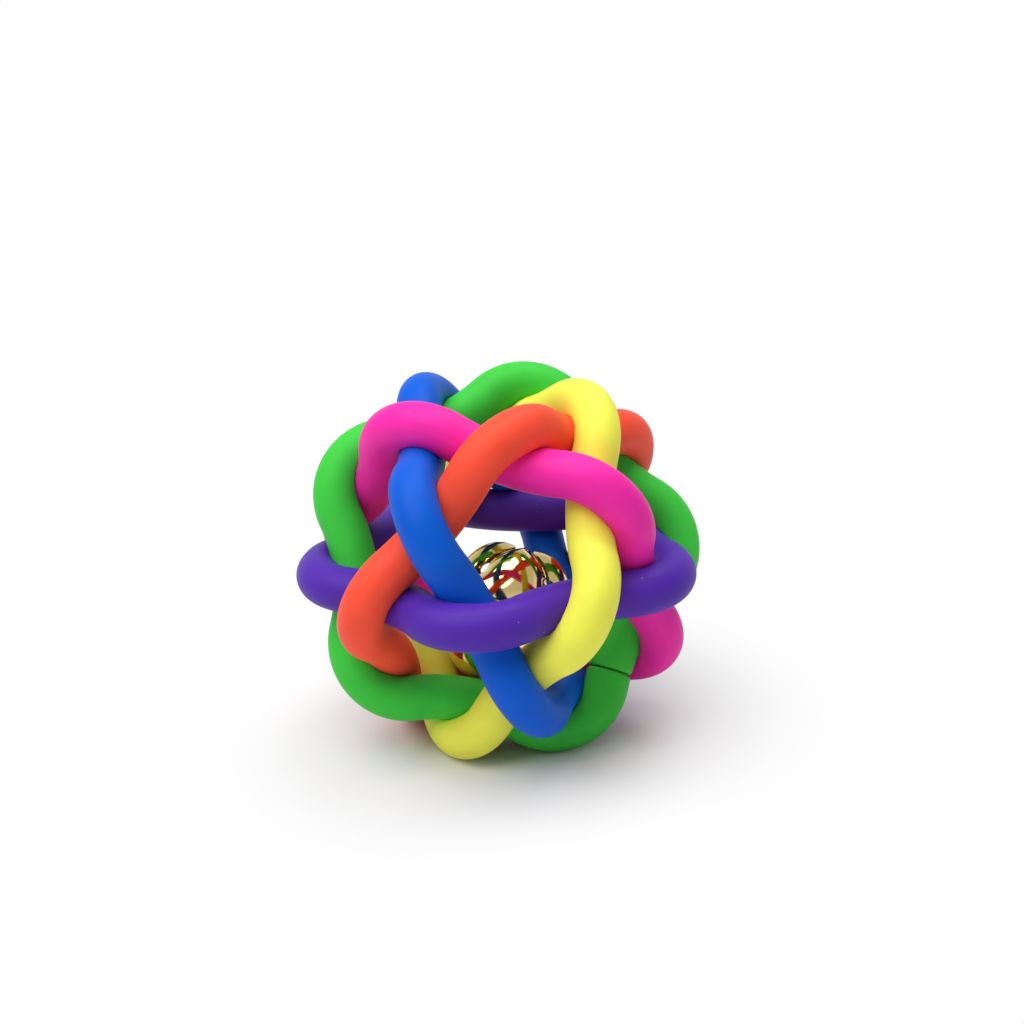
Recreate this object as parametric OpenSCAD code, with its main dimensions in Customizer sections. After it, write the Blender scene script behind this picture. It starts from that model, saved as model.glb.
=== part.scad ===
// Woven rubber ball with a jingle bell loose inside.
// Six rubber strands, each bent into a ring, pass over and under one another at thirty
// crossings. They leave twelve five-sided windows and twenty small triangles. The ball
// stands on the five crossings round its lowest window, and the first ring lies level.

/* [Ball] */
// Diameter over the outermost crossings
ball_d = 70; // [69:0.5:72]
// Diameter of one rubber strand
strand_d = 7.7; // [7.2:0.1:7.9]
// Rise of a strand over the mean ball at one crossing, and its dip under it at the next
wave = 3.1; // [3:0.1:3.3]
// Bend radius of a strand's centre line where it passes over another
bend_r = 9.6; // [9.5:0.1:10]
// Room between two strands where one is pressed into the other
nest_gap = 0.03; // [0.01:0.01:0.1]

/* [Strand joints] */
// Gap between the two cut ends of a strand
end_gap = 0.2; // [0.1:0.05:0.3]
// Depth of the groove that the rounded ends leave round the joint
groove_depth = 0.6; // [0.3:0.1:0.9]
// How far past the end of its bend a strand is cut, as a turn of its dip
joint_turn = 4.4; // [2:0.2:8]
// Diameter of the socket in each end
socket_d = 3.2; // [2.6:0.1:3.4]
// Depth of the socket in each end
socket_depth = 4.6; // [3.5:0.1:5]
// Room round the plug in its sockets
plug_gap = 0.03; // [0.02:0.01:0.1]

/* [Bell] */
// Outer diameter of the bell
bell_d = 21; // [19:0.5:21]
// Straight part of the shell that carries the loop
bell_skirt = 5; // [3:0.5:5]
// Thickness of the sheet metal
sheet = 0.6; // [0.4:0.1:0.7]
// Width of the two slots that cross at the pole
slot_w = 1.2; // [1:0.1:1.6]
// Diameter of the round end of each slot
slot_end_d = 3; // [2.6:0.1:3.6]
// Diameter of the opening where the slots cross
slot_eye_d = 3.6; // [3:0.1:4.4]
// Angle from the pole to the end of a slot
slot_reach = 62; // [50:1:66]
// Height of the collar that holds the two shells together
collar_h = 1.2; // [0.8:0.1:1.6]
// Diameter of the loop's wire
wire_d = 1.2; // [1:0.1:1.3]
// Outer width of the loop
loop_w = 5.6; // [5:0.1:5.8]
// How far the loop stands out of the shell
loop_out = 5; // [4.4:0.1:5.2]
// Diameter of the steel pellet
pellet_d = 5; // [4:0.1:5]

/* [Hidden] */

// Which strand has which colour, and the number of its ring
purple = 0;
blue = 1;
magenta = 2;
orange = 3;
yellow = 4;
green = 5;
COLOURS = ["#5a28aa", "#1470e6", "#f032a0", "#ff5030", "#f5f03c", "#3cc846"];
plug_colour = "#e8e4d8";
gold = "#d9a93c";
steel = "#9a9ea3";

// Each strand's joint: the crossing it sits next to, counted round the ring, and the side
JOINT_AT = [[0, -1], [2, 1], [3, 1], [3, 1], [4, -1], [1, 1]];

// The weave: two rings cross at weave_tilt, and a ring has five crossings of each kind
weave_tilt = atan(2);
crossing_step = 360 / 5;
half_step = crossing_step / 2;
first_over = 54;

strand_r = strand_d / 2;
mean_r = ball_d / 2 - strand_r - wave;
over_r = mean_r + wave;
under_r = mean_r - wave;

// A ring's centre line is ten arcs: a bend over each crossing, and a shallow dip under
// the next. The dip's radius is the one that makes the two arcs meet without a corner.
bend_centre = over_r - bend_r;
dip_r = (bend_centre * bend_centre + under_r * under_r - bend_r * bend_r
        - 2 * bend_centre * under_r * cos(half_step))
    / (2 * (bend_r + bend_centre * cos(half_step) - under_r));
dip_centre = under_r + dip_r;
bend_turn = atan2(dip_centre * sin(half_step), dip_centre * cos(half_step) - bend_centre);
dip_turn = bend_turn - half_step;
join_swell = 0.03;
arc_stop = 6;

// Height of the ball's centre over the surface it stands on
centre_h = bend_centre * cos(weave_tilt / 2) + bend_r * sin(weave_tilt) + strand_r;

// Plug: a pin with two barbs at each end
plug_r = socket_d / 2 - plug_gap;
plug_neck_r = plug_r - 0.35;
plug_end_room = 0.3;
plug_half = socket_depth + end_gap / 2 - plug_end_room;
barb_len = 1.4;
barb_count = 2;

// Bell: where the middle of its seam lies in the ball, how its slotted side leans, and the
// turn of its slots about its own axis. The skirt and the loop are below the seam.
bell_at = [1, 2, -8.7];
bell_lean = [0, 26, 54];
slot_turn = -6;
bell_r = bell_d / 2;
bell_in_r = bell_r - sheet;
collar_t = 0.5;
shell_gap = 0.03;
wire_gap = 0.05;
collar_r = bell_in_r - shell_gap;
loop_leg = (loop_w - wire_d) / 2;
loop_foot_r = 0.9;
loop_foot_len = 0.9;
loop_foot_in = 1.75;
// Where the pellet lies in the bell, beside the feet of the loop
pellet_at = [-2.75, 0.25, -10.9];

tube_fn = 48;
arc_fn = 180;
bell_fn = 96;
small_fn = 32;
far = 60;

// A piece of strand bent round an arc of radius r, turning from one angle to another
module bent_strand(r, from, to, d = strand_d) {
    rotate_extrude(angle = to - from, start = from, $fn = arc_fn)
        translate([r, 0]) circle(d = d, $fn = tube_fn);
}

// The shallow arc with which a strand passes under another, on the crossing's own axis
module dip(d = strand_d) {
    turn = dip_turn - arc_stop / dip_r;
    translate([dip_centre, 0, 0]) bent_strand(dip_r, 180 - turn, 180 + turn, d);
}

// The arc with which it passes over the next one
module bend() {
    turn = bend_turn - arc_stop / bend_r;
    translate([bend_centre, 0, 0]) bent_strand(bend_r, -turn, turn);
}

// The two arcs stop just short of each other, and a ball a hair fatter than the strand
// closes each join, so that the ring is one solid. A ball's poles lie inside the strand.
module join_balls() {
    for (side = [-1, 1])
        translate([bend_centre, 0, 0])
            rotate(side * bend_turn)
                translate([bend_r, 0, 0])
                    rotate([90, 0, 0])
                        sphere(r = strand_r + join_swell, $fn = bell_fn);
}

// One whole ring, lying level round the origin
module ring() {
    for (i = [0:4])
        rotate(first_over + crossing_step * i) {
            bend();
            rotate(half_step) dip();
            join_balls();
        }
}

// The strands that pass under a level ring, a little fatter than they are
module pressed_strands() {
    for (i = [0:4])
        rotate(first_over + crossing_step * i)
            rotate([-weave_tilt, 0, 0])
                dip(strand_d + 2 * nest_gap);
}

// Puts a piece at the joint of ring k: Y runs along the strand, X away from its dip's centre
module at_joint(k) {
    rotate(first_over + crossing_step * JOINT_AT[k][0])
        scale([1, JOINT_AT[k][1], 1])
            rotate(half_step)
                translate([dip_centre, 0, 0])
                    rotate(180 + dip_turn - joint_turn)
                        translate([dip_r, 0, 0])
                            children();
}

// The cut between the ends, the groove that their rounded edges leave, and the sockets
module joint_cut() {
    cube([2 * strand_d, end_gap, 2 * strand_d], center = true);
    rotate([90, 0, 0])
        rotate_extrude($fn = tube_fn)
            polygon([
                [strand_r - groove_depth, 0],
                [strand_r + groove_depth, groove_depth + end_gap / 2],
                [strand_r + groove_depth, -groove_depth - end_gap / 2]
            ]);
    rotate([90, 0, 0])
        cylinder(d = socket_d, h = 2 * socket_depth + end_gap, center = true, $fn = small_fn);
}

// Stands ring k where it belongs. Every ring is the level one given half a turn about
// an axis midway between the ball's upright axis and that of the ring.
module in_place(k) {
    translate([0, 0, centre_h])
        if (k == 0)
            children();
        else
            rotate(180, [
                sin(weave_tilt / 2) * cos(crossing_step * (k - 1)),
                sin(weave_tilt / 2) * sin(crossing_step * (k - 1)),
                cos(weave_tilt / 2)
            ])
                children();
}

module strand(k) {
    color(COLOURS[k])
        in_place(k)
            difference() {
                ring();
                pressed_strands();
                at_joint(k) joint_cut();
            }
}

// Half of a plug's outline, from its middle to its pointed end
function plug_side() = concat(
    [[0, 0], [plug_neck_r, 0]],
    [for (i = [barb_count:-1:1]) each [
        [plug_neck_r, plug_half - barb_len * i],
        [plug_r, plug_half - barb_len * i],
        [plug_neck_r, plug_half - barb_len * (i - 1)]
    ]],
    [[0, plug_half]]
);

module plug(k) {
    color(plug_colour)
        in_place(k)
            at_joint(k)
                for (side = [-90, 90])
                    rotate([side, 0, 0])
                        rotate_extrude($fn = small_fn) polygon(plug_side());
}

// Puts a piece in the bell: Z is the bell's own axis, and points out of its slotted side
module in_bell() {
    translate([0, 0, centre_h]) translate(bell_at) rotate(bell_lean) children();
}

module hollow_ball() {
    difference() {
        sphere(r = bell_r, $fn = bell_fn);
        sphere(r = bell_in_r, $fn = bell_fn);
    }
}

// The shell that carries the loop: a round end away from the slots, and a straight skirt
module bell_loop_shell() {
    color(gold)
        in_bell()
            translate([0, 0, -bell_skirt])
                difference() {
                    union() {
                        difference() {
                            hollow_ball();
                            translate([0, 0, far / 2]) cube(far, center = true);
                        }
                        difference() {
                            cylinder(r = bell_r, h = bell_skirt - shell_gap, $fn = bell_fn);
                            translate([0, 0, -1])
                                cylinder(r = bell_in_r, h = bell_skirt + 2, $fn = bell_fn);
                        }
                    }
                    for (side = [-1, 1])
                        translate([side * loop_leg, 0, -bell_r - 1])
                            cylinder(d = wire_d + 2 * wire_gap, h = 4, $fn = small_fn);
                }
}

// The slotted shell, with the collar that it is pushed into the other one by
module bell_slotted_shell() {
    color(gold)
        in_bell()
            difference() {
                union() {
                    difference() {
                        hollow_ball();
                        translate([0, 0, -far / 2]) cube(far, center = true);
                    }
                    rotate_extrude($fn = bell_fn)
                        polygon([
                            [collar_r - collar_t, -collar_h],
                            [collar_r, -collar_h],
                            [collar_r, 0],
                            [bell_in_r + sheet / 2, 0],
                            [bell_in_r + sheet / 2 - 0.1, collar_h],
                            [collar_r - collar_t, collar_h]
                        ]);
                }
                rotate(slot_turn) slots();
            }
}

module slots() {
    slot_top = bell_r + 1;
    slot_foot = bell_in_r * cos(slot_reach);
    slot_half = bell_r * sin(slot_reach);
    for (turn = [0, 90])
        rotate(turn) {
            translate([-slot_half, -slot_w / 2, slot_foot])
                cube([2 * slot_half, slot_w, slot_top - slot_foot]);
            for (side = [-1, 1])
                rotate([0, side * slot_reach, 0])
                    translate([0, 0, bell_in_r - 1.5])
                        cylinder(d = slot_end_d, h = 4, $fn = small_fn);
        }
    translate([0, 0, bell_in_r - 1.5]) cylinder(d = slot_eye_d, h = 4, $fn = small_fn);
}

// The wire loop: an arch outside, two legs through the shell, and feet bent out inside it
module bell_loop() {
    arch_z = -bell_skirt - bell_r - loop_out + loop_leg + wire_d / 2;
    foot_z = -bell_skirt - bell_in_r + loop_foot_in;
    leg_top = foot_z - loop_foot_r;
    color(gold)
        in_bell() {
            translate([0, 0, arch_z])
                rotate([90, 0, 0])
                    bent_strand(loop_leg, 180, 360, wire_d);
            for (turn = [0, 180])
                rotate(turn) {
                    translate([loop_leg, 0, arch_z])
                        cylinder(d = wire_d, h = leg_top - arch_z, $fn = small_fn);
                    translate([loop_leg + loop_foot_r, 0, leg_top])
                        rotate([90, 0, 0])
                            bent_strand(loop_foot_r, 90, 180, wire_d);
                    translate([loop_leg + loop_foot_r, 0, foot_z])
                        rotate([0, 90, 0])
                            cylinder(d = wire_d, h = loop_foot_len, $fn = small_fn);
                }
        }
}

module bell_pellet() {
    color(steel)
        translate([0, 0, centre_h])
            translate(bell_at + pellet_at)
                sphere(d = pellet_d, $fn = bell_fn);
}

strand(purple);  // purple_strand
strand(blue);  // blue_strand
strand(magenta);  // magenta_strand
strand(orange);  // orange_strand
strand(yellow);  // yellow_strand
strand(green);  // green_strand
plug(purple);  // purple_plug
plug(blue);  // blue_plug
plug(magenta);  // magenta_plug
plug(orange);  // orange_plug
plug(yellow);  // yellow_plug
plug(green);  // green_plug
bell_loop_shell();
bell_slotted_shell();
bell_loop();
bell_pellet();
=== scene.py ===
import math

import bmesh
import bpy
from mathutils import Matrix, Quaternion, Vector


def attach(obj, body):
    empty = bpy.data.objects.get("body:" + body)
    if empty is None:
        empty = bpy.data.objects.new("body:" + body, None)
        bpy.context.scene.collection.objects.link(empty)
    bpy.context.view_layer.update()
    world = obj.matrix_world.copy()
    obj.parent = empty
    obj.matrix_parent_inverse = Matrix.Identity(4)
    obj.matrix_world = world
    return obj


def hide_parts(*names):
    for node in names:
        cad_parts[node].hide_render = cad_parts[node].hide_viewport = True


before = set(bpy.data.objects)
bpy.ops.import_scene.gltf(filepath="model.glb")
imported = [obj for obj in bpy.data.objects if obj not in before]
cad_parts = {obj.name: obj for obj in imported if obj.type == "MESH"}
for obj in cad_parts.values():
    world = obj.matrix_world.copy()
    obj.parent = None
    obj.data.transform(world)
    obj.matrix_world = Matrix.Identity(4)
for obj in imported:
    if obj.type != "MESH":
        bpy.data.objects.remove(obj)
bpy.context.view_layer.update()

# The strand, modelled once. It is a moulded rubber cord bent into a ring: five tight bends
# over other strands and five shallow dips under them. Its two ends meet beside the first
# bend, with rounded edges and a socket in each for the plug.
STRAND_R = 0.00385
MEAN_R = 0.02805
WAVE = 0.0031
BEND_R = 0.0096
WEAVE_TILT = math.atan(2)
STEP = math.radians(72)
FIRST_OVER = math.radians(54)
JOINT_TURN = math.radians(4.4)
END_GAP = 0.0002
END_RUN = 0.0012
END_ROUNDING = 0.00062
SOCKET_R = 0.0016
SOCKET_DEPTH = 0.0046
NEST_GAP = 0.00003
PRESSED_REACH = 0.0066
ROUND_COUNT = 64
BEND_COUNT = 60
DIP_COUNT = 46
FIRST_DIP_COUNT = 40
LAST_DIP_COUNT = 3
ROUNDING_STEPS = 5
ON_END_FACE = 0.000001
RIM_INSIDE = 0.00001
RIM_OUTSIDE = 0.0001
STRAND_SMOOTH_BELOW = math.radians(50)
PART_LINE_AT = math.radians(-52)
PART_LINE_H = 0.00005

over_r = MEAN_R + WAVE
under_r = MEAN_R - WAVE
bend_centre = over_r - BEND_R
half_cos = math.cos(STEP / 2)
dip_r = (bend_centre ** 2 + under_r ** 2 - BEND_R ** 2 - 2 * bend_centre * under_r * half_cos) / (
    2 * (BEND_R + bend_centre * half_cos - under_r))
dip_centre = under_r + dip_r
bend_turn = math.atan2(dip_centre * math.sin(STEP / 2), dip_centre * half_cos - bend_centre)
dip_turn = bend_turn - STEP / 2


def on_ring(azimuth, distance):
    return Vector((math.cos(azimuth), math.sin(azimuth), 0)) * distance


def start_round(centre, azimuth, radius, count):
    """One round of a strand's outline, standing across the ring's plane, left in edit mode."""
    bpy.ops.object.select_all(action="DESELECT")
    bpy.ops.mesh.primitive_circle_add(
        vertices=count, radius=radius, location=centre, rotation=(math.pi / 2, 0, azimuth))
    bpy.ops.object.transform_apply(location=True, rotation=True, scale=True)
    bpy.ops.object.mode_set(mode="EDIT")
    bpy.ops.mesh.select_all(action="SELECT")
    return bpy.context.object


def carry_round(centre, turn, count):
    """Carries the selected round along an arc, anticlockwise for a positive turn."""
    bpy.ops.mesh.spin(steps=count, angle=-turn, center=centre, axis=(0, 0, 1))


def end_socket(inwards):
    """Closes the selected end and sinks the socket for the plug into it."""
    bpy.ops.mesh.edge_face_add()
    bpy.ops.mesh.inset(thickness=STRAND_R - SOCKET_R)
    bpy.ops.mesh.extrude_region_move(TRANSFORM_OT_translate={"value": inwards * SOCKET_DEPTH})
    bpy.ops.mesh.select_all(action="DESELECT")


joint_dip = FIRST_OVER + STEP / 2
gap_turn = END_GAP / 2 / dip_r
run_turn = END_RUN / dip_r
first_end = joint_dip + math.pi + dip_turn - JOINT_TURN - gap_turn
last_end = first_end + 2 * gap_turn
dip_middle = on_ring(joint_dip, dip_centre)

strand = start_round(dip_middle + on_ring(first_end, dip_r), first_end, STRAND_R, ROUND_COUNT)
strand.name = "strand_pattern"
part_line = min(
    bmesh.from_edit_mesh(strand.data).verts,
    key=lambda v: (v.co.z - STRAND_R * math.sin(PART_LINE_AT)) ** 2
    + (v.co.xy.length - under_r - STRAND_R) ** 2)
bpy.ops.mesh.select_all(action="DESELECT")
part_line.select = True
middle = dip_middle + on_ring(first_end, dip_r)
bpy.ops.transform.translate(value=(part_line.co - middle).normalized() * PART_LINE_H)
bpy.ops.mesh.select_all(action="SELECT")
end_socket(on_ring(first_end - math.pi / 2, 1))
bpy.ops.mesh.select_non_manifold(extend=False)
carry_round(dip_middle, -run_turn, 1)
carry_round(dip_middle, run_turn - (first_end - joint_dip - math.pi + dip_turn), FIRST_DIP_COUNT)
for crossing in range(1, 5):
    over_at = FIRST_OVER + STEP * crossing
    carry_round(on_ring(over_at, bend_centre), 2 * bend_turn, BEND_COUNT)
    carry_round(on_ring(over_at + STEP / 2, dip_centre), -2 * dip_turn, DIP_COUNT)
carry_round(on_ring(FIRST_OVER, bend_centre), 2 * bend_turn, BEND_COUNT)
carry_round(dip_middle, last_end + run_turn - joint_dip - math.pi - dip_turn, LAST_DIP_COUNT)
carry_round(dip_middle, -run_turn, 1)
end_socket(on_ring(last_end + math.pi / 2, 1))



def on_rim(point, end):
    """Whether a point lies on the outer rim of the strand's end at this turn along the dip."""
    from_middle = point - dip_middle - on_ring(end, dip_r)
    return abs(from_middle.dot(on_ring(end + math.pi / 2, 1))) < ON_END_FACE and (
        STRAND_R - RIM_INSIDE < from_middle.length < STRAND_R + RIM_OUTSIDE)


for edge in bmesh.from_edit_mesh(strand.data).edges:
    for end in (first_end, last_end):
        if all(on_rim(v.co, end) for v in edge.verts):
            edge.select = True
bpy.ops.mesh.bevel(offset=END_ROUNDING, segments=ROUNDING_STEPS, affect="EDGES")
bpy.ops.mesh.select_all(action="SELECT")
bpy.ops.mesh.normals_make_consistent(inside=False)
bpy.ops.object.mode_set(mode="OBJECT")

# Where a strand passes over another, the rubber is pressed in by the one below. Five short
# pieces of the strands below are laid in place, and the ring's underside is pushed clear.
pressing = []
for crossing in range(5):
    piece = start_round(
        (dip_centre + dip_r * math.cos(math.pi + dip_turn), dip_r * math.sin(math.pi + dip_turn), 0),
        math.pi + dip_turn, STRAND_R + NEST_GAP, ROUND_COUNT)
    bpy.ops.mesh.edge_face_add()
    carry_round((dip_centre, 0, 0), -2 * dip_turn, DIP_COUNT)
    bpy.ops.mesh.edge_face_add()
    bpy.ops.mesh.select_all(action="SELECT")
    bpy.ops.mesh.normals_make_consistent(inside=False)
    bpy.ops.object.mode_set(mode="OBJECT")
    piece.rotation_euler = (-WEAVE_TILT, 0, FIRST_OVER + STEP * crossing)
    bpy.ops.object.transform_apply(location=False, rotation=True, scale=False)
    pressing.append(piece)
bpy.ops.object.select_all(action="DESELECT")
for piece in pressing:
    piece.select_set(True)
bpy.context.view_layer.objects.active = pressing[0]
bpy.ops.object.join()
pressed_by = bpy.context.object

underside = strand.vertex_groups.new(name="underside")
crossings = [on_ring(FIRST_OVER + STEP * crossing, under_r) for crossing in range(5)]
underside.add(
    [v.index for v in strand.data.vertices if min((v.co - c).length for c in crossings) < PRESSED_REACH],
    1, "REPLACE")
bpy.ops.object.select_all(action="DESELECT")
strand.select_set(True)
bpy.context.view_layer.objects.active = strand
press = strand.modifiers.new("press", "SHRINKWRAP")
press.target = pressed_by
press.wrap_mode = "OUTSIDE"
press.vertex_group = "underside"
bpy.ops.object.modifier_apply(modifier="press")
bpy.data.objects.remove(pressed_by)
bpy.ops.object.shade_smooth_by_angle(angle=STRAND_SMOOTH_BELOW)


# Rubber: a satin skin with faint cloudiness, a fine grain, and a few specks of lint.
def rubber_skin():
    skin = bpy.data.node_groups.new("rubber_skin", "ShaderNodeTree")
    skin.interface.new_socket("Colour", in_out="INPUT", socket_type="NodeSocketColor")
    skin.interface.new_socket("Lint", in_out="INPUT", socket_type="NodeSocketFloat")
    for name, kind in (("Colour", "Color"), ("Roughness", "Float"), ("Normal", "Vector")):
        skin.interface.new_socket(name, in_out="OUTPUT", socket_type="NodeSocket" + kind)
    add, link = skin.nodes.new, skin.links.new
    given, put_out = add("NodeGroupInput"), add("NodeGroupOutput")
    place = add("ShaderNodeTexCoord")

    cloud = add("ShaderNodeTexNoise")
    cloud.inputs["Scale"].default_value = 160
    cloud.inputs["Detail"].default_value = 4
    link(place.outputs["Object"], cloud.inputs["Vector"])
    tone = add("ShaderNodeHueSaturation")
    link(given.outputs["Colour"], tone.inputs["Color"])
    value = add("ShaderNodeMapRange")
    value.inputs["From Min"].default_value = 0.3
    value.inputs["From Max"].default_value = 0.7
    value.inputs["To Min"].default_value = 0.95
    value.inputs["To Max"].default_value = 1.05
    link(cloud.outputs["Fac"], value.inputs["Value"])
    link(value.outputs["Result"], tone.inputs["Value"])

    specks = add("ShaderNodeTexVoronoi")
    specks.inputs["Scale"].default_value = 620
    link(place.outputs["Object"], specks.inputs["Vector"])
    small = add("ShaderNodeMath")
    small.operation = "LESS_THAN"
    small.inputs[1].default_value = 0.07
    link(specks.outputs["Distance"], small.inputs[0])
    chosen = add("ShaderNodeSeparateColor")
    link(specks.outputs["Color"], chosen.inputs["Color"])
    few = add("ShaderNodeMath")
    few.operation = "LESS_THAN"
    link(chosen.outputs["Red"], few.inputs[0])
    link(given.outputs["Lint"], few.inputs[1])
    speck = add("ShaderNodeMath")
    speck.operation = "MULTIPLY"
    link(small.outputs["Value"], speck.inputs[0])
    link(few.outputs["Value"], speck.inputs[1])
    faint = add("ShaderNodeMath")
    faint.operation = "MULTIPLY"
    faint.inputs[1].default_value = 0.4
    link(speck.outputs["Value"], faint.inputs[0])
    dusted = add("ShaderNodeMix")
    dusted.data_type = "RGBA"
    dusted.inputs["B"].default_value = (0.75, 0.73, 0.7, 1)
    link(faint.outputs["Value"], dusted.inputs["Factor"])
    link(tone.outputs["Color"], dusted.inputs["A"])
    link(dusted.outputs["Result"], put_out.inputs["Colour"])

    worn = add("ShaderNodeMapRange")
    worn.inputs["From Min"].default_value = 0.3
    worn.inputs["From Max"].default_value = 0.7
    worn.inputs["To Min"].default_value = 0.42
    worn.inputs["To Max"].default_value = 0.52
    link(cloud.outputs["Fac"], worn.inputs["Value"])
    link(worn.outputs["Result"], put_out.inputs["Roughness"])

    grain = add("ShaderNodeTexNoise")
    grain.inputs["Scale"].default_value = 2600
    grain.inputs["Detail"].default_value = 2
    link(place.outputs["Object"], grain.inputs["Vector"])
    bump = add("ShaderNodeBump")
    bump.inputs["Strength"].default_value = 0.25
    bump.inputs["Distance"].default_value = 0.00003
    link(grain.outputs["Fac"], bump.inputs["Height"])
    link(bump.outputs["Normal"], put_out.inputs["Normal"])
    return skin


rubber = rubber_skin()


def rubber_finish(name, colour, lint):
    finish = bpy.data.materials.new(name)
    finish.use_nodes = True
    nodes, link = finish.node_tree.nodes, finish.node_tree.links.new
    shader = nodes["Principled BSDF"]
    skin = nodes.new("ShaderNodeGroup")
    skin.node_tree = rubber
    skin.inputs["Colour"].default_value = (*colour, 1)
    skin.inputs["Lint"].default_value = lint
    link(skin.outputs["Colour"], shader.inputs["Base Color"])
    link(skin.outputs["Roughness"], shader.inputs["Roughness"])
    link(skin.outputs["Normal"], shader.inputs["Normal"])
    shader.inputs["Specular IOR Level"].default_value = 0.14
    return finish


# The six strands, each a copy of the ring turned to its place in the weave. The first lies
# level, and the others are it given half a turn about five slanting axes. Each has its own
# colour, and its joint beside another of its five bends, on one side or the other.
BALL_CENTRE = Vector((0, 0, 0.030768))
STRANDS = (
    ("purple", (0.084, 0.024, 0.390), 0, -1, 0.10),
    ("blue", (0.001, 0.105, 0.630), 2, 1, 0.05),
    ("magenta", (0.930, 0.026, 0.400), 3, 1, 0.03),
    ("orange", (1.000, 0.090, 0.045), 3, 1, 0.04),
    ("yellow", (0.930, 0.920, 0.100), 4, -1, 0.02),
    ("green", (0.048, 0.577, 0.054), 1, 1, 0.04),
)
for number, (colour_name, colour, joint_at, side, lint) in enumerate(STRANDS):
    ring = strand.copy()
    ring.data = strand.data.copy()
    ring.name = ring.data.name = colour_name + "_rubber_strand"
    bpy.context.collection.objects.link(ring)
    turn = Matrix.Rotation(STEP * joint_at, 4, "Z")
    if side < 0:
        turn = turn @ Matrix.Rotation(math.pi, 4, on_ring(FIRST_OVER, 1))
    if number:
        axis = on_ring(STEP * (number - 1), math.sin(WEAVE_TILT / 2))
        axis.z = math.cos(WEAVE_TILT / 2)
        turn = Matrix.Rotation(math.pi, 4, axis) @ turn
    ring.matrix_world = Matrix.Translation(BALL_CENTRE) @ turn
    bpy.ops.object.select_all(action="DESELECT")
    ring.select_set(True)
    bpy.context.view_layer.objects.active = ring
    bpy.ops.object.transform_apply(location=True, rotation=True, scale=True)
    ring.data.materials.append(rubber_finish(colour_name + "_rubber", colour, lint))
    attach(ring, "cage")
    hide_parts(colour_name + "_strand")
bpy.data.objects.remove(strand)

# The plugs: small barbed pins of natural plastic, pushed into the two ends of each strand.
# They stay as they were built, and show only as a pale spot deep in the joint.
plug_plastic = bpy.data.materials.new("plug_plastic")
plug_plastic.use_nodes = True
plastic_nodes, plastic_link = plug_plastic.node_tree.nodes, plug_plastic.node_tree.links.new
plug_shader = plastic_nodes["Principled BSDF"]
plug_place = plastic_nodes.new("ShaderNodeTexCoord")
plug_cloud = plastic_nodes.new("ShaderNodeTexNoise")
plug_cloud.inputs["Scale"].default_value = 900
plug_tone = plastic_nodes.new("ShaderNodeValToRGB")
plug_tone.color_ramp.elements[0].color = (0.70, 0.68, 0.60, 1)
plug_tone.color_ramp.elements[1].color = (0.84, 0.82, 0.74, 1)
plastic_link(plug_place.outputs["Object"], plug_cloud.inputs["Vector"])
plastic_link(plug_cloud.outputs["Fac"], plug_tone.inputs["Fac"])
plastic_link(plug_tone.outputs["Color"], plug_shader.inputs["Base Color"])
plug_shader.inputs["Roughness"].default_value = 0.45
for colour_name, *_ in STRANDS:
    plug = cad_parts[colour_name + "_plug"]
    plug.data.materials.clear()
    plug.data.materials.append(plug_plastic)

# The bell's two shells, drawn from thin brass sheet, gold plated and polished. The lower
# one has a straight skirt and carries the loop. The upper has two crossed slots with round
# ends, and a collar that is pushed into the skirt. Their edges meet in a fine groove.
BELL_R = 0.0105
SHEET = 0.0006
SKIRT = 0.005
BELL_AT = Vector((0.001, 0.002, -0.0087))
BELL_LEAN = math.radians(26)
BELL_TURN = math.radians(54)
BELL_PLACE = Matrix.Translation(BALL_CENTRE + BELL_AT) @ (
    Matrix.Rotation(BELL_TURN, 4, "Z") @ Matrix.Rotation(BELL_LEAN, 4, "Y"))
SLOT_TURN = math.radians(-6)
SLOT_W = 0.0012
SLOT_END_R = 0.0015
SLOT_EYE_R = 0.0018
SLOT_REACH = math.radians(62)
COLLAR_H = 0.0012
COLLAR_T = 0.0005
COLLAR_FOOT = 0.0001
DRILL_LENGTH = 0.004
SHELL_GAP = 0.00003
WIRE_R = 0.0006
WIRE_GAP = 0.00005
LOOP_LEG = 0.0022
SHEET_ROUNDING = 0.00009
SLIVER = 0.00002
BALL_SUBDIVISIONS = 6
ROD_COUNT = 128
CUT_EDGE_ABOVE = math.radians(50)
SHEET_SMOOTH_BELOW = math.radians(35)
PETAL_DIP = 0.0012
PETAL_BULGE = 0.0004
PETAL_SOFTNESS = 0.0019


def dip_share(point):
    """How far the sheet dips towards the slots at a point: 1 on a slot, falling to 0 beside it."""
    tilt = point.angle(Vector((0, 0, 1)))
    share = 0
    for quarter in range(4):
        turn = SLOT_TURN + quarter * math.pi / 2
        along = Vector((math.cos(turn), math.sin(turn), 0))
        if point.dot(along) > -SLOT_W:
            off = point.dot(Vector((-along.y, along.x, 0)))
            past = max(0, tilt - SLOT_REACH) * BELL_R
            share = max(share, math.exp(-(off * off + past * past) / (2 * PETAL_SOFTNESS ** 2)))
    return share


def half_ball(name, upper):
    """Half a ball's surface, open at its rim, left in edit mode."""
    bpy.ops.object.select_all(action="DESELECT")
    bpy.ops.mesh.primitive_ico_sphere_add(subdivisions=BALL_SUBDIVISIONS, radius=BELL_R)
    shell = bpy.context.object
    shell.name = name
    bpy.ops.object.mode_set(mode="EDIT")
    bpy.ops.mesh.select_all(action="SELECT")
    bpy.ops.mesh.bisect(
        plane_co=(0, 0, 0), plane_no=(0, 0, 1), clear_inner=upper, clear_outer=not upper)
    return shell


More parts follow.
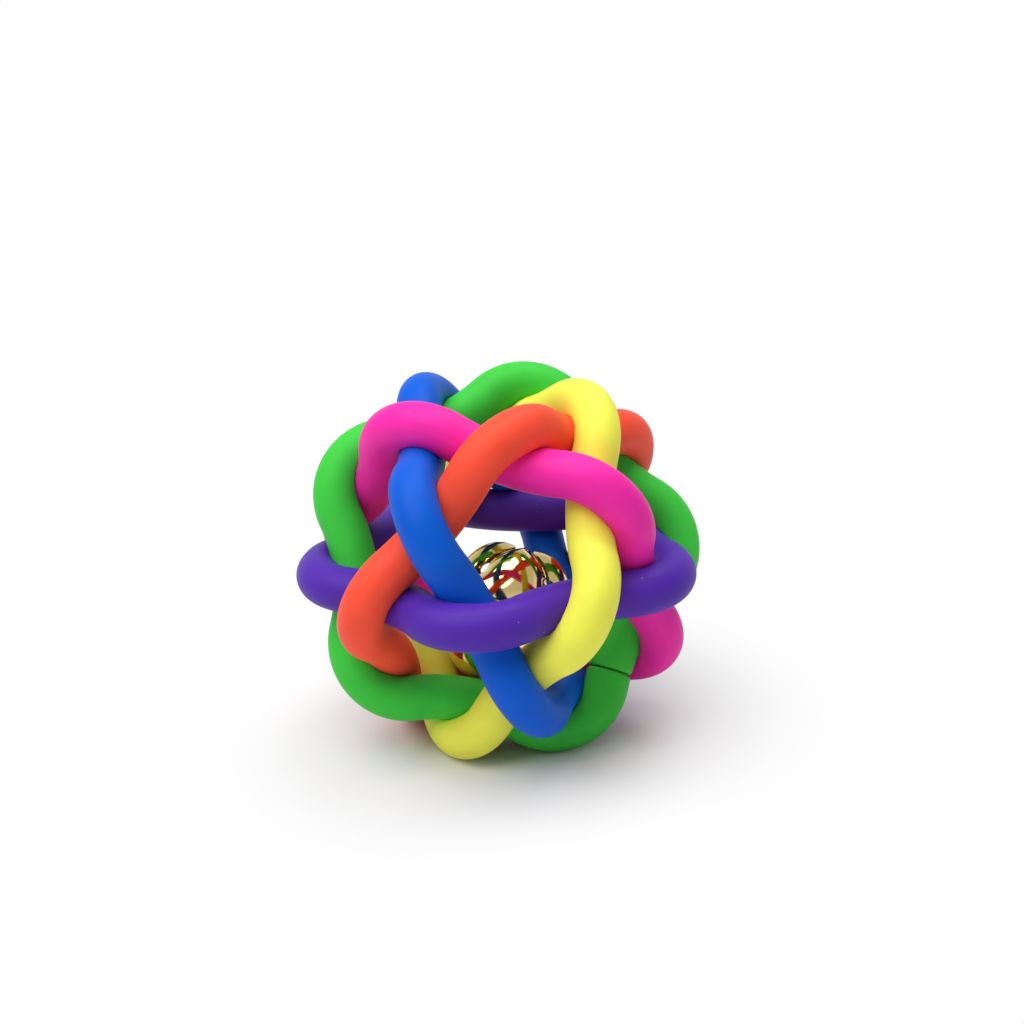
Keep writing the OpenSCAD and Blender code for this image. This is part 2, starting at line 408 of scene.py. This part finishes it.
def draw_sheet(shell):
    """Leaves edit mode, and gives the surface the thickness of the sheet, inwards."""
    bpy.ops.object.mode_set(mode="OBJECT")
    wall = shell.modifiers.new("wall", "SOLIDIFY")
    wall.thickness = SHEET
    wall.offset = -1
    bpy.ops.object.modifier_apply(modifier="wall")


def combine(shell, tools, operation):
    """Cuts each tool out of the shell, or adds it, and takes the tools away."""
    for tool in tools:
        bpy.ops.object.select_all(action="DESELECT")
        shell.select_set(True)
        bpy.context.view_layer.objects.active = shell
        combined = shell.modifiers.new("combined", "BOOLEAN")
        combined.operation = operation
        combined.object = tool
        combined.solver = "EXACT"
        bpy.ops.object.modifier_apply(modifier="combined")
        bpy.data.objects.remove(tool)


def finish_shell(shell):
    """Clears slivers, rounds the cut edges of the sheet and stands the shell in its place."""
    bpy.ops.object.mode_set(mode="EDIT")
    bpy.ops.mesh.select_all(action="SELECT")
    bpy.ops.mesh.remove_doubles(threshold=SLIVER)
    bpy.ops.mesh.dissolve_degenerate(threshold=SLIVER)
    bpy.ops.object.mode_set(mode="OBJECT")
    edge = shell.modifiers.new("edge", "BEVEL")
    edge.width = SHEET_ROUNDING
    edge.segments = 2
    edge.limit_method = "ANGLE"
    edge.angle_limit = CUT_EDGE_ABOVE
    bpy.ops.object.modifier_apply(modifier="edge")
    bpy.ops.object.shade_smooth_by_angle(angle=SHEET_SMOOTH_BELOW)
    shell.matrix_world = BELL_PLACE
    bpy.ops.object.transform_apply(location=True, rotation=True, scale=True)


def rod(radius, length, place):
    """A cylinder to cut or add with, along its place's own Z."""
    bpy.ops.mesh.primitive_cylinder_add(vertices=ROD_COUNT, radius=radius, depth=length)
    tool = bpy.context.object
    tool.matrix_world = place
    bpy.ops.object.transform_apply(location=True, rotation=True, scale=True)
    return tool


slotted = half_ball("bell_upper_half", True)
for vert in bmesh.from_edit_mesh(slotted.data).verts:
    dip = dip_share(vert.co)
    vert.co *= 1 + (PETAL_BULGE * (1 - dip) * vert.co.z / BELL_R - PETAL_DIP * dip) / BELL_R
draw_sheet(slotted)
collar_r = BELL_R - SHEET - SHELL_GAP
middle_of_sheet = BELL_R - SHEET / 2
combine(slotted, [
    rod(middle_of_sheet, COLLAR_H - COLLAR_FOOT, Matrix.Translation((0, 0, (COLLAR_H + COLLAR_FOOT) / 2))),
    rod(collar_r, COLLAR_H + 2 * COLLAR_FOOT, Matrix.Translation((0, 0, COLLAR_FOOT - COLLAR_H / 2))),
], "UNION")
combine(slotted, [rod(collar_r - COLLAR_T, 4 * COLLAR_H, Matrix())], "DIFFERENCE")
slot_foot = (BELL_R - SHEET) * math.cos(SLOT_REACH)
slot_half = BELL_R * math.sin(SLOT_REACH)
slot_tools = [rod(SLOT_EYE_R, DRILL_LENGTH, Matrix.Translation((0, 0, middle_of_sheet)))]
for quarter in range(4):
    end_place = Matrix.Rotation(SLOT_TURN + quarter * math.pi / 2, 4, "Z") @ (
        Matrix.Rotation(SLOT_REACH, 4, "Y") @ Matrix.Translation((0, 0, middle_of_sheet)))
    slot_tools.append(rod(SLOT_END_R, DRILL_LENGTH, end_place))
    bpy.ops.mesh.primitive_cube_add(
        size=1, location=(slot_half / 2, 0, slot_foot + BELL_R), scale=(slot_half, SLOT_W, 2 * BELL_R))
    slot = bpy.context.object
    bpy.ops.object.transform_apply(location=True, rotation=True, scale=True)
    slot.matrix_world = Matrix.Rotation(SLOT_TURN + quarter * math.pi / 2, 4, "Z")
    bpy.ops.object.transform_apply(location=True, rotation=True, scale=True)
    slot_tools.append(slot)
combine(slotted, slot_tools, "DIFFERENCE")
finish_shell(slotted)

lower = half_ball("bell_lower_half", False)
bpy.ops.mesh.select_all(action="SELECT")
bpy.ops.transform.translate(value=(0, 0, -SKIRT))
bpy.ops.mesh.select_all(action="DESELECT")
bpy.ops.mesh.select_non_manifold()
bpy.ops.mesh.extrude_region_move(TRANSFORM_OT_translate={"value": (0, 0, SKIRT - SHELL_GAP)})
draw_sheet(lower)
combine(lower, [
    rod(WIRE_R + WIRE_GAP, DRILL_LENGTH, Matrix.Translation((side * LOOP_LEG, 0, -SKIRT - middle_of_sheet)))
    for side in (-1, 1)], "DIFFERENCE")
finish_shell(lower)

# The wire loop: an arch outside the lower shell, two legs through it, and feet bent out
# inside. It is bent from round brass wire and plated with the shell.
LOOP_OUT = 0.005
FOOT_R = 0.0009
FOOT_LEN = 0.0009
FOOT_IN = 0.00175
WIRE_COUNT = 20
FOOT_BEND_COUNT = 8
ARCH_COUNT = 24
arch_z = -SKIRT - BELL_R - LOOP_OUT + LOOP_LEG + WIRE_R
foot_z = -SKIRT - BELL_R + SHEET + FOOT_IN
bpy.ops.object.select_all(action="DESELECT")
bpy.ops.mesh.primitive_circle_add(
    vertices=WIRE_COUNT, radius=WIRE_R, location=(LOOP_LEG + FOOT_R + FOOT_LEN, 0, foot_z),
    rotation=(0, math.pi / 2, 0))
loop = bpy.context.object
loop.name = "bell_wire_loop"
bpy.ops.object.transform_apply(location=True, rotation=True, scale=True)
bpy.ops.object.mode_set(mode="EDIT")
bpy.ops.mesh.select_all(action="SELECT")
bpy.ops.mesh.edge_face_add()
bpy.ops.mesh.extrude_region_move(TRANSFORM_OT_translate={"value": (-FOOT_LEN, 0, 0)})
bpy.ops.mesh.spin(
    steps=FOOT_BEND_COUNT, angle=math.pi / 2, center=(LOOP_LEG + FOOT_R, 0, foot_z - FOOT_R), axis=(0, 1, 0))
bpy.ops.mesh.extrude_region_move(TRANSFORM_OT_translate={"value": (0, 0, arch_z - foot_z + FOOT_R)})
bpy.ops.mesh.spin(steps=ARCH_COUNT, angle=-math.pi, center=(0, 0, arch_z), axis=(0, 1, 0))
bpy.ops.mesh.extrude_region_move(TRANSFORM_OT_translate={"value": (0, 0, foot_z - FOOT_R - arch_z)})
bpy.ops.mesh.spin(
    steps=FOOT_BEND_COUNT, angle=math.pi / 2, center=(-LOOP_LEG - FOOT_R, 0, foot_z - FOOT_R), axis=(0, 1, 0))
bpy.ops.mesh.extrude_region_move(TRANSFORM_OT_translate={"value": (-FOOT_LEN, 0, 0)})
bpy.ops.mesh.select_all(action="SELECT")
bpy.ops.mesh.normals_make_consistent(inside=False)
bpy.ops.object.mode_set(mode="OBJECT")
finish_shell(loop)

# Gold plating: bright and nearly smooth, with a slight unevenness from polishing.
gold = bpy.data.materials.new("gold_plating")
gold.use_nodes = True
gold_nodes, gold_link = gold.node_tree.nodes, gold.node_tree.links.new
gold_shader = gold_nodes["Principled BSDF"]
gold_shader.inputs["Metallic"].default_value = 1
gold_place = gold_nodes.new("ShaderNodeTexCoord")
smear = gold_nodes.new("ShaderNodeTexNoise")
smear.inputs["Scale"].default_value = 240
smear.inputs["Detail"].default_value = 3
gold_link(gold_place.outputs["Object"], smear.inputs["Vector"])
plate_tone = gold_nodes.new("ShaderNodeValToRGB")
plate_tone.color_ramp.elements[0].color = (0.85, 0.61, 0.21, 1)
plate_tone.color_ramp.elements[1].color = (0.97, 0.77, 0.35, 1)
gold_link(smear.outputs["Fac"], plate_tone.inputs["Fac"])
gold_link(plate_tone.outputs["Color"], gold_shader.inputs["Base Color"])
polish = gold_nodes.new("ShaderNodeMapRange")
polish.inputs["To Min"].default_value = 0.05
polish.inputs["To Max"].default_value = 0.13
gold_link(smear.outputs["Fac"], polish.inputs["Value"])
gold_link(polish.outputs["Result"], gold_shader.inputs["Roughness"])
dents = gold_nodes.new("ShaderNodeTexNoise")
dents.inputs["Scale"].default_value = 150
gold_link(gold_place.outputs["Object"], dents.inputs["Vector"])
waviness = gold_nodes.new("ShaderNodeBump")
waviness.inputs["Strength"].default_value = 0.6
waviness.inputs["Distance"].default_value = 0.0002
gold_link(dents.outputs["Fac"], waviness.inputs["Height"])
gold_link(waviness.outputs["Normal"], gold_shader.inputs["Normal"])
for piece, node in ((slotted, "bell_slotted_shell"), (lower, "bell_loop_shell"), (loop, "bell_loop")):
    piece.data.materials.clear()
    piece.data.materials.append(gold)
    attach(piece, "bell")
    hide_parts(node)

# The pellet: a loose ball of bare steel that strikes the shells. It stays as it was built.
steel = bpy.data.materials.new("bare_steel")
steel.use_nodes = True
steel_nodes, steel_link = steel.node_tree.nodes, steel.node_tree.links.new
steel_shader = steel_nodes["Principled BSDF"]
steel_shader.inputs["Metallic"].default_value = 1
steel_place = steel_nodes.new("ShaderNodeTexCoord")
scuffs = steel_nodes.new("ShaderNodeTexNoise")
scuffs.inputs["Scale"].default_value = 700
scuffs.inputs["Detail"].default_value = 6
steel_link(steel_place.outputs["Object"], scuffs.inputs["Vector"])
steel_tone = steel_nodes.new("ShaderNodeValToRGB")
steel_tone.color_ramp.elements[0].color = (0.30, 0.30, 0.31, 1)
steel_tone.color_ramp.elements[1].color = (0.48, 0.49, 0.50, 1)
steel_link(scuffs.outputs["Fac"], steel_tone.inputs["Fac"])
steel_link(steel_tone.outputs["Color"], steel_shader.inputs["Base Color"])
steel_rough = steel_nodes.new("ShaderNodeMapRange")
steel_rough.inputs["To Min"].default_value = 0.2
steel_rough.inputs["To Max"].default_value = 0.42
steel_link(scuffs.outputs["Fac"], steel_rough.inputs["Value"])
steel_link(steel_rough.outputs["Result"], steel_shader.inputs["Roughness"])
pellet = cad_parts["bell_pellet"]
pellet.data.materials.clear()
pellet.data.materials.append(steel)

# The floor: a wide sheet of white paper, just clear of the ball. It catches the soft shadow
# round the ball, and further out it is plain white to the eye.
PAPER_SIZE = 12
PAPER_DROP = 0.00005
bpy.ops.object.select_all(action="DESELECT")
bpy.ops.mesh.primitive_plane_add(size=PAPER_SIZE, location=(0, 0, -PAPER_DROP))
floor = bpy.context.object
floor.name = "floor"
bpy.ops.object.transform_apply(location=True, rotation=True, scale=True)
paper = bpy.data.materials.new("white_paper")
paper.use_nodes = True
paper_nodes, paper_link = paper.node_tree.nodes, paper.node_tree.links.new
paper_shader = paper_nodes["Principled BSDF"]
paper_shader.inputs["Base Color"].default_value = (0.82, 0.82, 0.825, 1)
paper_shader.inputs["Roughness"].default_value = 0.9
paper_shader.inputs["Specular IOR Level"].default_value = 0
paper_white = paper_nodes.new("ShaderNodeEmission")
paper_white.inputs["Color"].default_value = (1, 1, 1, 1)
paper_place = paper_nodes.new("ShaderNodeTexCoord")
from_ball = paper_nodes.new("ShaderNodeVectorMath")
from_ball.operation = "LENGTH"
paper_link(paper_place.outputs["Object"], from_ball.inputs[0])
away = paper_nodes.new("ShaderNodeMapRange")
away.inputs["From Min"].default_value = 0.015
away.inputs["From Max"].default_value = 0.062
paper_link(from_ball.outputs["Value"], away.inputs["Value"])
floor_ray = paper_nodes.new("ShaderNodeLightPath")
seen_far = paper_nodes.new("ShaderNodeMath")
seen_far.operation = "MULTIPLY"
paper_link(away.outputs["Result"], seen_far.inputs[0])
paper_link(floor_ray.outputs["Is Camera Ray"], seen_far.inputs[1])
paper_mix = paper_nodes.new("ShaderNodeMixShader")
paper_link(seen_far.outputs["Value"], paper_mix.inputs["Fac"])
paper_link(paper_shader.outputs["BSDF"], paper_mix.inputs[1])
paper_link(paper_white.outputs["Emission"], paper_mix.inputs[2])
paper_link(paper_mix.outputs["Shader"], paper_nodes["Material Output"].inputs["Surface"])
floor.data.materials.append(paper)

# Light: one large soft lamp above the left front, a weaker one above the right back, and a
# plain white room, whose ceiling is a little dim where the bell mirrors it.
def soft_lamp(name, place, size, power):
    bpy.ops.object.light_add(type="AREA", location=place)
    lamp = bpy.context.object
    lamp.name = name
    lamp.data.shape = "DISK"
    lamp.data.size = size
    lamp.data.energy = power
    lamp.rotation_euler = (BALL_CENTRE - Vector(place)).to_track_quat("-Z", "Y").to_euler()


soft_lamp("key_lamp", (-0.28, -0.26, 0.85), 1.1, 9.5)
soft_lamp("top_lamp", (0.22, 0.28, 0.85), 0.6, 3.4)
room = bpy.data.worlds.new("white_room")
bpy.context.scene.world = room
room.use_nodes = True
room_nodes, room_link = room.node_tree.nodes, room.node_tree.links.new
room_light = room_nodes["Background"]
upward = room_nodes.new("ShaderNodeTexCoord")
height = room_nodes.new("ShaderNodeSeparateXYZ")
room_link(upward.outputs["Generated"], height.inputs["Vector"])
walls = room_nodes.new("ShaderNodeMapRange")
walls.inputs["From Min"].default_value = 0.25
walls.inputs["From Max"].default_value = 0.65
walls.inputs["To Min"].default_value = 0.27
walls.inputs["To Max"].default_value = 0.15
room_link(height.outputs["Z"], walls.inputs["Value"])
ray = room_nodes.new("ShaderNodeLightPath")
mirrored = room_nodes.new("ShaderNodeMapRange")
mirrored.inputs["From Min"].default_value = 0.1
mirrored.inputs["From Max"].default_value = 0.6
mirrored.inputs["To Min"].default_value = 1
mirrored.inputs["To Max"].default_value = 0.5
room_link(height.outputs["Z"], mirrored.inputs["Value"])
glossy = room_nodes.new("ShaderNodeMath")
glossy.operation = "MULTIPLY"
room_link(ray.outputs["Is Glossy Ray"], glossy.inputs[0])
room_link(mirrored.outputs["Result"], glossy.inputs[1])
seen = room_nodes.new("ShaderNodeMath")
seen.operation = "MAXIMUM"
room_link(ray.outputs["Is Camera Ray"], seen.inputs[0])
room_link(glossy.outputs["Value"], seen.inputs[1])
strength = room_nodes.new("ShaderNodeMath")
strength.operation = "MAXIMUM"
room_link(walls.outputs["Result"], strength.inputs[0])
room_link(seen.outputs["Value"], strength.inputs[1])
room_link(strength.outputs["Value"], room_light.inputs["Strength"])
room_light.inputs["Color"].default_value = (1, 1, 1, 1)

# The camera: a little above the ball, looking down at its centre.
CAMERA_DISTANCE = 0.3009
CAMERA_AZIMUTH = math.radians(10.33)
CAMERA_HEIGHT = math.radians(20.38)
CAMERA_ROLL = math.radians(-2.94)
camera_data = bpy.data.cameras.new("camera")
camera = bpy.data.objects.new("camera", camera_data)
bpy.context.collection.objects.link(camera)
back = Vector((
    math.sin(CAMERA_AZIMUTH) * math.cos(CAMERA_HEIGHT),
    -math.cos(CAMERA_AZIMUTH) * math.cos(CAMERA_HEIGHT),
    math.sin(CAMERA_HEIGHT)))
camera.rotation_mode = "QUATERNION"
camera.rotation_quaternion = back.to_track_quat("Z", "Y") @ Quaternion((0, 0, 1), CAMERA_ROLL)
camera.location = BALL_CENTRE + back * CAMERA_DISTANCE
camera_data.sensor_width = 36
camera_data.lens = 61.52
camera_data.shift_x = 0.0113
camera_data.shift_y = 0.0450
camera_data.clip_start = 0.01
bpy.context.scene.camera = camera
bpy.context.scene.view_settings.view_transform = "Standard"
